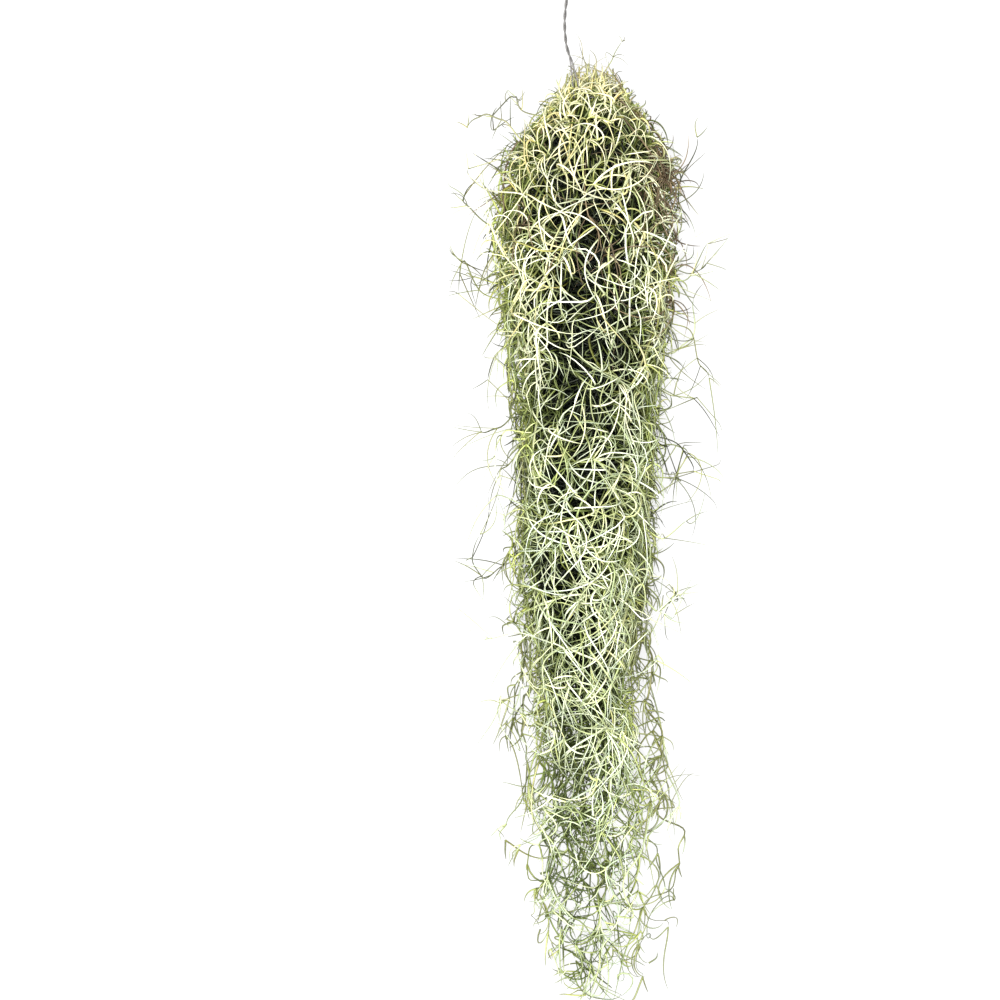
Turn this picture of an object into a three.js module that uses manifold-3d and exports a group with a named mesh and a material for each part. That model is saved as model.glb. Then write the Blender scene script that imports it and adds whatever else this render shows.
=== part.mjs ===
// A bunch of Spanish moss bound at its crown by a twisted wire hanger, lying on a flat surface.
// Millimetres, +Z up. The strands run from the crown, at +Y, down to their loose tips, at -Y.
// "down" is the distance along the bunch from the top of the crown, and "across" is X.
import * as THREE from "three";
import { mergeVertices } from "three/addons/utils/BufferGeometryUtils.js";
import Module from "manifold-3d";

const wasm = await Module();
wasm.setup();

// Driving dimensions of the bunch.
const bunchLength = 640; // crown to the furthest tip
const tieDown = 28; // where the wire tie grips the strands
const tieSpread = 13.5; // middle of the tie to the middle of an outermost strand
const tieHeight = 35; // middle of the tie above the surface
const looseDown = 95; // below this the bunch lies on the surface with its full width
const widestReach = { left: 87, right: 84, up: 90, crown: 16 }; // how far the loose tips reach out

// How far the middles of the outermost strands spread by distance down: to each side, and up and down.
const spreadRows = [
  { down: 0, left: 16, right: 16, half: 16 },
  { down: tieDown, left: tieSpread, right: tieSpread, half: tieSpread },
  { down: tieDown + 7, left: tieSpread + 0.4, right: tieSpread + 0.4, half: tieSpread + 0.4 },
  { down: 46, left: 21, right: 21, half: 17.5 },
  { down: 62, left: 43, right: 43, half: 27 },
  { down: 95, left: 54, right: 54, half: 32 },
  { down: 165, left: 56, right: 55, half: 32 },
  { down: 220, left: 45, right: 47, half: 28 },
  { down: 330, left: 44, right: 47, half: 25 },
  { down: 420, left: 36, right: 45, half: 19 },
  { down: 520, left: 31, right: 48, half: 13 },
  { down: 590, left: 23, right: 44, half: 9 },
  { down: bunchLength, left: 15, right: 34, half: 6 },
];

// Thickness of a living strand's packed middle by distance down, as a radius.
const middleRows = [
  { down: 0, radius: 1.8 },
  { down: tieDown, radius: 2.2 },
  { down: tieDown + 16, radius: 1.75 },
  { down: 90, radius: 2.5 },
  { down: 250, radius: 2.3 },
  { down: 380, radius: 1.9 },
  { down: 500, radius: 1.4 },
  { down: bunchLength, radius: 1.0 },
];

const strand = {
  rings: 3, // rings of strands round the middle one
  sides: [3, 3, 3, 4], // of the middle of a strand of each ring, from the middle one out
  widening: [1.15, 1.15, 1.1, 1], // of its radius, so that a three-sided one fills its place too
  stretch: 30, // length of one stretch of the middle
  sway: { reach: 4.5, turn: 150, shift: 1.6 }, // the whole bunch wanders sideways
  lift: 2.5, // how far the upper strands rise and fall
  ownSway: 0.09, // how far each strand wanders by itself, in shares of the bunch's spread
  ownTurns: [80, 110],
  sink: 0.5, // height of a lowest strand's middle above the surface, in radii
  thinTip: 60, // over which a strand's end thins out
  thinnest: 0.85,
};

const leaf = {
  sides: 3,
  stretches: 4,
  rootRadius: 0.8,
  tipShare: 0.62, // of the root's radius, on the last ring before the point
  lengths: [40, 66],
  curl: [1.4, 3.9], // radians that a leaf turns over its length
  crownCurl: [2.2, 3.6],
  twist: 1.2, // radians that the plane of the curl turns, either way
  huggingShare: 0.6, // of the leaves lie along the bunch, and the others stand out
  clear: 0.45, // air kept to every other piece
  tries: 60,
};
const crownLeaves = [1, 1, 1, 2]; // above the tie, on a strand of each ring from the middle one out
const looseLeaves = [3, 3, 3, 11]; // below the tie, the inner strands' near their bare ends

const dryStrand = {
  radius: 1,
  sides: 4,
  end: 170,
  angles: [30, 90, 150], // degrees round the tie, in the hollows between living strands
  place: 1.08, // distance from the middle of the tie, in shares of tieSpread
  leaves: 3,
  lengths: [24, 42],
};

const wire = {
  radius: 0.6,
  sides: 6,
  tieRadius: 17.3,
  tieSteps: 18,
  legsAngle: 114, // degrees round the tie where the two legs leave it
  legsApart: 8, // degrees on each side of that
  pairSides: 6,
  pairTurn: 14, // length of one full turn of the twisted pair
  pairStep: 2.8,
  pairHalfWidth: 1.05,
  pairHalfThickness: 0.65,
  hookRadius: 8,
  hookAngle: 215, // degrees of its bend
  // The middle of the twisted stem, from the legs to the hook.
  stem: [
    { across: -9.4, down: 6, height: 51.5 },
    { across: -12.6, down: -4, height: 50.5 },
    { across: -13.4, down: -18, height: 49.5 },
    { across: -11.6, down: -33, height: 48.5 },
    { across: -11, down: -46, height: 47.5 },
  ],
};

const looks = {
  living: { color: 0xb3bd84, roughness: 0.75, metalness: 0 },
  dry: { color: 0x7a664c, roughness: 0.85, metalness: 0 },
  wire: { color: 0x5f5d63, roughness: 0.45, metalness: 0.8 },
};

const rad = THREE.MathUtils.degToRad;
const { clamp, lerp, smoothstep } = THREE.MathUtils;
const downwards = new THREE.Vector3(0, -1, 0);
const lowestRow = Math.sqrt(3) / 2; // of a hexagon with its flat side down, in shares of its reach

// Repeatable random numbers from 0 to 1.
function seededDraw(seed) {
  let state = seed * 7919 + 17;
  return () => {
    state = (state + 0x6d2b79f5) | 0;
    let mixed = Math.imul(state ^ (state >>> 15), 1 | state);
    mixed = (mixed + Math.imul(mixed ^ (mixed >>> 7), 61 | mixed)) ^ mixed;
    return ((mixed ^ (mixed >>> 14)) >>> 0) / 4294967296;
  };
}

const between = ([low, high], share) => lerp(low, high, share);

// The value of one column of a table at a distance down, on a smooth curve through its rows.
function valueAt(rows, column, down) {
  const last = rows.length - 1;
  const held = clamp(down, rows[0].down, rows[last].down);
  let i = 0;
  while (i < last - 1 && rows[i + 1].down < held) i++;
  const slope = (a, b) => (rows[b][column] - rows[a][column]) / (rows[b].down - rows[a].down);
  const width = rows[i + 1].down - rows[i].down;
  const share = (held - rows[i].down) / width;
  const startSlope = slope(Math.max(i - 1, 0), i + 1) * width;
  const endSlope = slope(i, Math.min(i + 2, last)) * width;
  const [s2, s3] = [share ** 2, share ** 3];
  return (
    (2 * s3 - 3 * s2 + 1) * rows[i][column] +
    (s3 - 2 * s2 + share) * startSlope +
    (3 * s2 - 2 * s3) * rows[i + 1][column] +
    (s3 - s2) * endSlope
  );
}

// A point of the bunch. place is its position in the cross-section, from -1 to 1 each way.
// The strands wander together, and each a little by itself, but never so far that they cross.
function bunchPoint(place, down, own = { turn: 100, start: 0 }) {
  const side = place.across < 0 ? "left" : "right";
  const spread = valueAt(spreadRows, side, down);
  const half = valueAt(spreadRows, "half", down);
  const lying = half * lowestRow + valueAt(middleRows, "radius", down) * strand.sink;
  const rested = lerp(tieHeight, lying, smoothstep(down, tieDown, looseDown));
  const loose = smoothstep(down, tieDown + 8, looseDown);
  const raised = clamp((place.up + lowestRow) / 2, 0, 1);
  const wave = (turn, start) => Math.sin((down / turn) * 2 * Math.PI + start);
  const { sway, lift, ownSway } = strand;
  const together = sway.reach * wave(sway.turn, sway.shift * place.up);
  const alone = ownSway * spread * wave(own.turn, own.start);
  const rise = lift * wave(sway.turn / 1.3, sway.shift * place.across);
  const aloneRise = ownSway * half * wave(own.turn * 1.2, own.start * 2);
  return new THREE.Vector3(
    place.across * spread + loose * (together + alone),
    -down,
    rested + place.up * half + loose * raised * (rise + aloneRise),
  );
}

// Shortest distance between two straight stretches, each {from, to}.
function stretchDistance(a, b) {
  const u = a.to.clone().sub(a.from);
  const v = b.to.clone().sub(b.from);
  const w = a.from.clone().sub(b.from);
  const [uu, uv, vv, uw, vw] = [u.dot(u), u.dot(v), v.dot(v), u.dot(w), v.dot(w)];
  const spread = uu * vv - uv * uv;
  let s = spread > 1e-9 ? clamp((uv * vw - vv * uw) / spread, 0, 1) : 0;
  const t = clamp((uv * s + vw) / vv, 0, 1);
  s = clamp((uv * t - uw) / uu, 0, 1);
  return a.from.clone().addScaledVector(u, s).distanceTo(b.from.clone().addScaledVector(v, t));
}

// What is already built, as round stretches kept in slices along the bunch.
const sliceLength = 20;
const slices = new Map();

function stretchesOf(points, radii, owner) {
  return points.slice(1).map((to, i) => ({
    from: points[i],
    to,
    owner,
    radius: Math.max(radii[i], radii[i + 1]),
  }));
}

function slicesOf(stretch, reach) {
  const ends = [stretch.from.y, stretch.to.y];
  const first = Math.floor((Math.min(...ends) - reach) / sliceLength);
  const last = Math.floor((Math.max(...ends) + reach) / sliceLength);
  return Array.from({ length: last - first + 1 }, (_, i) => first + i);
}

function keepStretches(points, radii, owner) {
  for (const stretch of stretchesOf(points, radii, owner))
    for (const slice of slicesOf(stretch, stretch.radius)) {
      if (!slices.has(slice)) slices.set(slice, []);
      slices.get(slice).push(stretch);
    }
}

// True if a new line keeps its air to all that is built, apart from the piece that it grows from.
function isClear(points, radii, owner) {
  return stretchesOf(points, radii, owner).every((stretch) =>
    slicesOf(stretch, stretch.radius + leaf.clear).every((slice) =>
      (slices.get(slice) ?? []).every(
        (other) =>
          other.owner === owner ||
          stretchDistance(stretch, other) > stretch.radius + other.radius + leaf.clear,
      ),
    ),
  );
}

// A closed tube whose rings stand on the points. radii gives each ring's radius, 0 ends it in a point,
// and section gives a corner's share of its ring's radius. Nothing goes under the surface.
function tubeAlong(points, radii, sides, section = () => 1) {
  const rings = points.length - 1;
  const tip = radii[rings] === 0 ? 0 : 1;
  const geometry = new THREE.CylinderGeometry(tip, 1, 1, sides, rings);
  const tangents = points.map((_, i) =>
    points[Math.min(i + 1, rings)].clone().sub(points[Math.max(i - 1, 0)]).normalize(),
  );
  const normals = [];
  for (let i = 0; i <= rings; i++) {
    const carried = i ? normals[i - 1].clone() : new THREE.Vector3(0.12, 0.05, 1);
    normals.push(carried.addScaledVector(tangents[i], -carried.dot(tangents[i])).normalize());
  }
  const corner = geometry.getAttribute("position");
  for (let i = 0; i < corner.count; i++) {
    const [x, z] = [corner.getX(i), corner.getZ(i)];
    const ring = Math.round((corner.getY(i) + 0.5) * rings);
    const angle = Math.atan2(x, z) + Math.PI / sides;
    const radius = Math.hypot(x, z) > 1e-6 ? radii[ring] * section(angle, ring) : 0;
    const moved = normals[ring]
      .clone()
      .cross(tangents[ring])
      .multiplyScalar(Math.cos(angle) * radius)
      .addScaledVector(normals[ring], Math.sin(angle) * radius)
      .add(points[ring]);
    corner.setXYZ(i, moved.x, moved.y, Math.max(moved.z, 0));
  }
  return geometry;
}

function solidOf(geometry) {
  const bare = new THREE.BufferGeometry()
    .setAttribute("position", geometry.getAttribute("position"))
    .setIndex(geometry.index);
  const merged = mergeVertices(bare, 1e-4);
  return new wasm.Manifold(
    new wasm.Mesh({
      numProp: 3,
      vertProperties: merged.getAttribute("position").array,
      triVerts: new Uint32Array(merged.index.array),
    }),
  );
}

// Joins solids into one mesh. Of the joined bodies the largest is kept, which also fills sealed hollows.
function meshOf(name, solids, look) {
  const bodies = solids.reduce((whole, piece) => whole.add(piece)).decompose();
  const joined = bodies.sort((a, b) => b.volume() - a.volume())[0].getMesh();
  const geometry = new THREE.BufferGeometry()
    .setAttribute("position", new THREE.BufferAttribute(joined.vertProperties, 3))
    .setIndex(new THREE.BufferAttribute(joined.triVerts, 1));
  geometry.computeVertexNormals();
  const mesh = new THREE.Mesh(geometry, new THREE.MeshStandardMaterial(look));
  mesh.name = name;
  return mesh;
}

// The living strands stand on a hexagonal grid across the bunch, with a flat side down.
function livingPlaces() {
  const places = [];
  const most = strand.rings;
  for (let row = -most; row <= most; row++) {
    const firstStep = Math.max(-most, -most - row);
    const lastStep = Math.min(most, most - row);
    for (let step = firstStep; step <= lastStep; step++)
      places.push({
        across: (step + row / 2) / most,
        up: (row * lowestRow) / most,
        ring: Math.max(Math.abs(row), Math.abs(step), Math.abs(row + step)),
      });
  }
  return places;
}

// Where a living strand ends: long in the middle and on the right, shorter on the left.
function strandEnd(place, draw) {
  const shortening = place.across < 0 ? 165 : 45;
  const outward = Math.hypot(place.across, place.up);
  return bunchLength - 16 - outward * (shortening + 70 * draw());
}

function strandLine(place, head, end, draw) {
  const own = { turn: between(strand.ownTurns, draw()), start: draw() * Math.PI * 2 };
  const start = tieDown + 18;
  const count = Math.round((end - start) / strand.stretch);
  const lower = Array.from({ length: count }, (_, i) => lerp(start, end, (i + 1) / count));
  return [head, tieDown - 6, tieDown + 7, start, ...lower].map((down) => bunchPoint(place, down, own));
}

function strandRadii(line, ring) {
  const end = -line.at(-1).y;
  return line.map((point) => {
    const thin = lerp(0.4, 1, smoothstep(end + point.y, 0, strand.thinTip));
    const full = valueAt(middleRows, "radius", -point.y) * strand.widening[ring];
    return Math.max(full * thin, strand.thinnest);
  });
}

// A leaf: an arc of even curl, in a plane that slowly turns.
function curlLine(root, heading, axis, length, curl, twist) {
  const points = [root.clone()];
  const direction = heading.clone();
  const pivot = axis.clone();
  for (let i = 0; i < leaf.stretches; i++) {
    points.push(points[i].clone().addScaledVector(direction, length / leaf.stretches));
    direction.applyAxisAngle(pivot, curl / leaf.stretches);
    pivot.applyAxisAngle(direction, twist / leaf.stretches);
  }
  for (const point of points.slice(1)) point.z = Math.max(point.z, leaf.rootRadius);
  return points;
}

function inReach(point) {
  const { left, right, up, crown } = widestReach;
  const within = point.x > -left && point.x < right && point.z < up;
  return within && point.y < crown && point.y > -bunchLength;
}

const leafRadii = Array.from({ length: leaf.stretches + 1 }, (_, i) =>
  i < leaf.stretches ? leaf.rootRadius * lerp(1, leaf.tipShare, i / (leaf.stretches - 1)) : 0,
);

// The way a leaf sets out and the axis that it curls about. In the crown it folds over the tie,
// and lower down it lies along the bunch or stands out from it.
function leafSetOut(root, outward, draw) {
  const around = outward.clone().cross(downwards).normalize();
  const stray = new THREE.Vector3(draw() - 0.5, draw() - 0.5, draw() - 0.5);
  if (-root.y < tieDown - 6) {
    const heading = outward.clone().multiplyScalar(0.4 + draw()).sub(downwards);
    heading.addScaledVector(around, draw() * 1.6 - 0.8).normalize();
    const axis = heading.clone().cross(downwards).addScaledVector(stray, 0.4).normalize();
    return { heading, axis, curls: leaf.crownCurl };
  }
  const hugging = draw() < leaf.huggingShare;
  const turn = draw() * 2 * Math.PI;
  const heading = around
    .clone()
    .multiplyScalar(Math.cos(turn))
    .addScaledVector(downwards, Math.sin(turn) + 0.25)
    .addScaledVector(outward, hugging ? 0.25 + 0.35 * draw() : 0.9 + draw())
    .normalize();
  const axis = hugging
    ? outward.clone().multiplyScalar(draw() < 0.5 ? -1 : 1).addScaledVector(stray, 0.7)
    : stray.cross(heading);
  return { heading, axis: axis.normalize(), curls: leaf.curl };
}

// Tries curls from a root until one keeps clear of every other piece, and returns its solid.
function growLeaf(root, outward, lengths, owner, draw) {
  for (let attempt = 0; attempt < leaf.tries; attempt++) {
    const { heading, axis, curls } = leafSetOut(root, outward, draw);
    const length = between(lengths, draw());
    const curl = between(curls, draw());
    const twist = leaf.twist * (draw() * 2 - 1);
    const points = curlLine(root, heading, axis, length, curl, twist);
    if (points.every(inReach) && isClear(points, leafRadii, owner)) {
      keepStretches(points, leafRadii, {});
      return solidOf(tubeAlong(points, leafRadii, leaf.sides));
    }
  }
  return null;
}

// Grows leaves between two distances down a strand. crowding over 1 gathers them near the second.
function leavesOn(drawing, count, from, to, crowding, lengths) {
  const { place, line, draw, owner } = drawing;
  const outward = new THREE.Vector3(place.across, 0, place.up + 0.1).normalize();
  const grown = [];
  for (let i = 0; i < count; i++) {
    const down = lerp(from, to, ((i + draw()) / count) ** (1 / crowding));
    const next = line.findIndex((point) => -point.y > down);
    const share = (down + line[next - 1].y) / (line[next - 1].y - line[next].y);
    const root = line[next - 1].clone().lerp(line[next], share);
    const made = growLeaf(root, outward, lengths, owner, draw);
    if (made) grown.push(made);
  }
  return grown;
}

// The line of one strand, kept before any leaf is grown, so that every leaf can stay clear of it.
function drawStrand(place, head, end, draw, radiiOf) {
  const line = strandLine(place, head, end, draw);
  const drawing = { place, draw, line, radii: radiiOf(line), owner: {} };
  keepStretches(line, drawing.radii, drawing.owner);
  return drawing;
}

function drawLiving(place, i) {
  const draw = seededDraw(i + 1);
  const radiiOf = (line) => strandRadii(line, place.ring);
  return drawStrand(place, 4 + 9 * draw(), strandEnd(place, draw), draw, radiiOf);
}

function drawDry(angle, i) {
  const place = {
    across: Math.cos(rad(angle)) * dryStrand.place,
    up: Math.sin(rad(angle)) * dryStrand.place,
  };
  const radiiOf = (line) => line.map(() => dryStrand.radius);
  return drawStrand(place, 12, dryStrand.end - 22 * i, seededDraw(101 + i), radiiOf);
}

// The noose round the strands, with a leg at each end that runs up to the twisted stem.
function nooseLine() {
  const { tieRadius, legsAngle, legsApart, tieSteps, stem, pairHalfThickness } = wire;
  const points = [];
  for (let i = 0; i <= tieSteps; i++) {
    const angle = rad(legsAngle + legsApart + ((360 - 2 * legsApart) * i) / tieSteps);
    const [across, up] = [Math.cos(angle) * tieRadius, Math.sin(angle) * tieRadius];
    points.push(new THREE.Vector3(across, -tieDown, tieHeight + up));
  }
  const top = new THREE.Vector3(stem[0].across, -stem[0].down, stem[0].height);
  const legs = [points[0], points.at(-1)].map((foot, side) => {
    const head = top.clone();
    head.x += side ? pairHalfThickness : -pairHalfThickness;
    head.y -= 2;
    const bend = foot.clone().lerp(head, 0.12);
    bend.z += wire.radius;
    return [bend, foot.clone().lerp(head, 0.55), head, head.clone().setY(top.y + 3)];
  });
  return [...legs[0].reverse(), ...points, ...legs[1]];
}

// The middle line of the twisted pair: its stem, then the open hook at its end.
function pairLine() {
  const { stem, hookRadius, hookAngle, pairStep } = wire;
  const straight = stem.map((p) => new THREE.Vector3(p.across, -p.down, p.height));
  const start = straight.at(-1);
  const bends = 8;
  for (let i = 1; i <= bends; i++) {
    const angle = rad((hookAngle * i) / bends);
    const across = hookRadius * (1 - Math.cos(angle));
    straight.push(start.clone().add(new THREE.Vector3(across, hookRadius * Math.sin(angle), 0)));
  }
  const curve = new THREE.CatmullRomCurve3(straight);
  return curve.getSpacedPoints(Math.round(curve.getLength() / pairStep));
}

function buildHanger() {
  const noose = nooseLine();
  const pair = pairLine();
  const owner = {};
  const nooseRadii = noose.map(() => wire.radius);
  const pairRadii = pair.map(() => wire.pairHalfWidth);
  keepStretches(noose, nooseRadii, owner);
  keepStretches(pair, pairRadii, owner);
  const flatness = wire.pairHalfThickness / wire.pairHalfWidth;
  const twisted = (angle, ring) => {
    const turned = angle - (ring * wire.pairStep * 2 * Math.PI) / wire.pairTurn;
    return flatness / Math.hypot(flatness * Math.cos(turned), Math.sin(turned));
  };
  const solids = [
    solidOf(tubeAlong(pair, pairRadii, wire.pairSides, twisted)),
    solidOf(tubeAlong(noose, nooseRadii, wire.sides)),
  ];
  return meshOf("wire_hanger", solids, looks.wire);
}

const bunch = new THREE.Group();
const twoDigits = (i) => String(i + 1).padStart(2, "0");

bunch.add(buildHanger());
const living = livingPlaces().map(drawLiving);
const dry = dryStrand.angles.map(drawDry);

dry.forEach((drawing, i) => {
  const middle = solidOf(tubeAlong(drawing.line, drawing.radii, dryStrand.sides));
  const end = -drawing.line.at(-1).y - 3;
  const leaves = leavesOn(drawing, dryStrand.leaves, tieDown + 14, end, 1, dryStrand.lengths);
  bunch.add(meshOf("dry_strand_" + twoDigits(i), [middle, ...leaves], looks.dry));
});

living.forEach((drawing, i) => {
  const { ring } = drawing.place;
  const middle = solidOf(tubeAlong(drawing.line, drawing.radii, strand.sides[ring]));
  const [start, end] = [-drawing.line[0].y, -drawing.line.at(-1).y];
  const crowding = ring < strand.rings ? 5 : 1.2;
  const leaves = [
    ...leavesOn(drawing, crownLeaves[ring], start + 2, tieDown - 8, 1, leaf.lengths),
    ...leavesOn(drawing, looseLeaves[ring], tieDown + 12, end - 3, crowding, leaf.lengths),
  ];
  bunch.add(meshOf("moss_strand_" + twoDigits(i), [middle, ...leaves], looks.living));
});

// The origin is at the middle of the bunch, on the surface that it lies on.
const middle = new THREE.Box3().setFromObject(bunch).getCenter(new THREE.Vector3());
bunch.position.set(-middle.x, -middle.y, 0);

export default bunch;
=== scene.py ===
import math

import bpy
import numpy as np
from mathutils import Matrix, Vector


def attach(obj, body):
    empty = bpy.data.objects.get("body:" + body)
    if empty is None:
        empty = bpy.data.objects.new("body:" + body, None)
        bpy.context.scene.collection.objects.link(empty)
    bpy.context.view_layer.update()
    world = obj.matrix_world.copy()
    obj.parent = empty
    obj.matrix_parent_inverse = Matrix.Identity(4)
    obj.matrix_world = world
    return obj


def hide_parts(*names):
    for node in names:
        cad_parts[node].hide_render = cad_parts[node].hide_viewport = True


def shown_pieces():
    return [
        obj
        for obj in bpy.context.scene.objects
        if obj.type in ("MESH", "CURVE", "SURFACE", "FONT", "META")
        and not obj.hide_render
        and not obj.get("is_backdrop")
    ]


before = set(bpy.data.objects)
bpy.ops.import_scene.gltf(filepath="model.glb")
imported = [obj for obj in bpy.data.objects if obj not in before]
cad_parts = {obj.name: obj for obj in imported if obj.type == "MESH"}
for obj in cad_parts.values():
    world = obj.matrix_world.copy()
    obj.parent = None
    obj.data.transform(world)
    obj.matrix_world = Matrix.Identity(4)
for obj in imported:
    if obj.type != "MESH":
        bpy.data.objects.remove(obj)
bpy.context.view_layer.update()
print("frame loaded:", len(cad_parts), "nodes")

# The bunch lies along Y with its crown at +Y. Sizes below are in mm: down is the distance from the
# top of the crown, across is X, and up is Z.
bunch = {
    "length": 640,
    "origin": (0.3236, 284.7384),  # X and Y of the top of the crown
    "tieDown": 28,  # the noose of the wire
    "tieHeight": 35,
    "looseDown": 95,  # from here on the bunch lies on the surface
    "softLimits": (-83, 83, 82),  # left, right and up
    "crownLimit": 4,
    "tailLimit": 634,
    "rooms": (5.5, 9),  # how far threads may pass the limits of the sides, and the others
    "lowest": 0.5,  # height of the middle of a thread that lies on the surface
}
mm = 0.001

# down, left, right and half height of the outermost strands
spreadRows = np.array([
    (0, 16, 16, 16),
    (28, 13.5, 13.5, 13.5),
    (35, 13.9, 13.9, 13.9),
    (46, 21, 21, 17.5),
    (62, 43, 43, 27),
    (95, 54, 54, 32),
    (165, 56, 55, 32),
    (220, 45, 47, 28),
    (330, 44, 47, 25),
    (420, 36, 45, 19),
    (520, 31, 48, 13),
    (590, 23, 44, 9),
    (640, 15, 34, 6),
], float)

# down, left, right, middle height and half height of the whole body of threads
outlineRows = np.array([
    (-12, 5, 7, 35, 9),
    (0, 9, 10, 35, 12),
    (13, 14, 16, 35, 16),
    (28, 24, 26, 35, 25),
    (43, 38, 40, 36, 32),
    (58, 50, 51, 36, 36),
    (74, 55, 56, 36, 37),
    (106, 57, 59, 37, 38),
    (153, 55, 53, 37, 38),
    (185, 49, 48, 36, 37),
    (217, 42, 45, 35, 35),
    (250, 39, 43, 34, 34),
    (282, 39, 40, 33, 33),
    (315, 44, 40, 31, 31),
    (349, 40, 32, 29, 29),
    (382, 31, 29, 26, 26),
    (416, 27, 30, 23, 23),
    (450, 30, 35, 20, 20),
    (485, 35, 41, 17, 17),
    (520, 40, 43, 15, 15),
    (556, 33, 43, 13, 13),
    (592, 22, 39, 12, 12),
    (640, 14, 31, 9, 9),
], float)

rng = np.random.default_rng(11)


# Smooth curve through a table's rows: each stretch blends its two rows and their slopes,
# v = (2s^3-3s^2+1) a + (s^3-2s^2+s) w m + (3s^2-2s^3) b + (s^3-s^2) w n.
def throughRows(rows, column, down):
    at = rows[:, 0]
    held = np.clip(down, at[0], at[-1])
    i = np.clip(np.searchsorted(at, held, side="left") - 1, 0, len(at) - 2)
    last = len(at) - 1
    before, after = np.maximum(i - 1, 0), np.minimum(i + 2, last)
    v = rows[:, column]
    width = at[i + 1] - at[i]
    s = (held - at[i]) / width
    m = (v[i + 1] - v[before]) / (at[i + 1] - at[before]) * width
    n = (v[after] - v[i]) / (at[after] - at[i]) * width
    s2, s3 = s**2, s**3
    return (2*s3 - 3*s2 + 1)*v[i] + (s3 - 2*s2 + s)*m + (3*s2 - 2*s3)*v[i + 1] + (s3 - s2)*n


# Blends from 0 at low to 1 at high: 3s^2 - 2s^3.
def ease(x, low, high):
    s = np.clip((x - low) / (high - low), 0, 1)
    return s * s * (3 - 2 * s)


# A share that sets in, or ends, between two distances down.
def setsIn(down, share, low, high):
    return share * ease(down, low, high)


def endsBy(down, share, low, high):
    return share * (1 - ease(down, low, high))


# Vectors over their own length.
def unit(v):
    return v / np.maximum(np.linalg.norm(v, axis=-1, keepdims=True), 1e-9)


# Turns v about the unit axis by an angle: v cos + (axis x v) sin + axis (axis.v) (1 - cos).
def turned(v, axis, angle):
    c, s = np.cos(angle)[..., None], np.sin(angle)[..., None]
    along = (axis * v).sum(-1, keepdims=True)
    return v * c + np.cross(axis, v) * s + axis * along * (1 - c)


# Places of the strands. The part's solids have the same values, so they change together.
strands = {
    "rings": 3,  # rings of strands round the middle one
    "head": (4, 9),  # distance down of a strand's top, and how far that varies
    "tips": 16,  # the middle strand ends this far from the end of the bunch
    "shorter": (165, 45),  # how much shorter the outermost strands are, on the left and on the right
    "uneven": 70,  # and how far that varies
    "turn": (80, 30),  # length of a strand's own wave, and how far that varies
    "ownWave": 0.09,  # size of that wave, as a share of the spread
    "ownRise": 1.2,  # its length upwards, against its length sideways
    "sharedTurn": 150,  # length of the wave that all strands share
    "sharedShorter": 1.3,  # how much shorter that wave is upwards
    "sharedLag": 1.6,  # radians by which it changes from the middle of the bunch to its outline
    "sharedWave": 4.5,
    "sharedRise": 2.5,
    "thickness": 1.2,
    "dryAngles": (30, 90, 150),  # where the dry strands stand, over the shoulders
    "dryOut": 1.08,
    "dryHead": 12,
    "dryEnd": (170, 22),  # where the first of them ends, and how much sooner each next one does
}


# The draws that place a strand, the same ones as in the part's solids.
def steadyDraws(seed, count):
    full = 0xFFFFFFFF
    state = seed * 7919 + 17
    drawn = []
    for _ in range(count):
        state = (state + 0x6D2B79F5) & full
        mixed = ((state ^ state >> 15) * (1 | state)) & full
        mixed = ((mixed + (mixed ^ mixed >> 7) * (61 | mixed)) & full) ^ mixed
        drawn.append(((mixed ^ mixed >> 14) & full) / 2**32)
    return drawn


# Strands stand in rings on a triangular grid: across is (step + row / 2) / rings, and up is row times
# sqrt(3/4) / rings. The further out a strand stands, the sooner it ends.
def livingStrands():
    most = strands["rings"]
    made = []
    for row in range(-most, most + 1):
        for step in range(max(-most, -most - row), min(most, most - row) + 1):
            across, up = (step + row / 2) / most, row * math.sqrt(0.75) / most
            ring = max(abs(row), abs(step), abs(row + step))
            head, ended, turn, start = steadyDraws(len(made) + 1, 4)
            shorter = strands["shorter"][0 if across < 0 else 1] + strands["uneven"] * ended
            made.append({
                "name": f"moss_strand_{len(made) + 1:02d}", "across": across, "up": up, "ring": ring,
                "head": strands["head"][0] + strands["head"][1] * head,
                "end": bunch["length"] - strands["tips"] - math.hypot(across, up) * shorter,
                "turn": strands["turn"][0] + strands["turn"][1] * turn, "start": start * 2 * math.pi,
            })
    return made


# Dry strands stand just past the outermost ring, at cos and sin of their angles.
def dryStrands():
    made = []
    for i, angle in enumerate(math.radians(degrees) for degrees in strands["dryAngles"]):
        turn, start = steadyDraws(101 + i, 2)
        made.append({
            "name": f"dry_strand_{i + 1:02d}", "ring": strands["rings"] + 1,
            "across": math.cos(angle) * strands["dryOut"], "up": math.sin(angle) * strands["dryOut"],
            "head": strands["dryHead"], "end": strands["dryEnd"][0] - strands["dryEnd"][1] * i,
            "turn": strands["turn"][0] + strands["turn"][1] * turn, "start": start * 2 * math.pi,
        })
    return made


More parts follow.
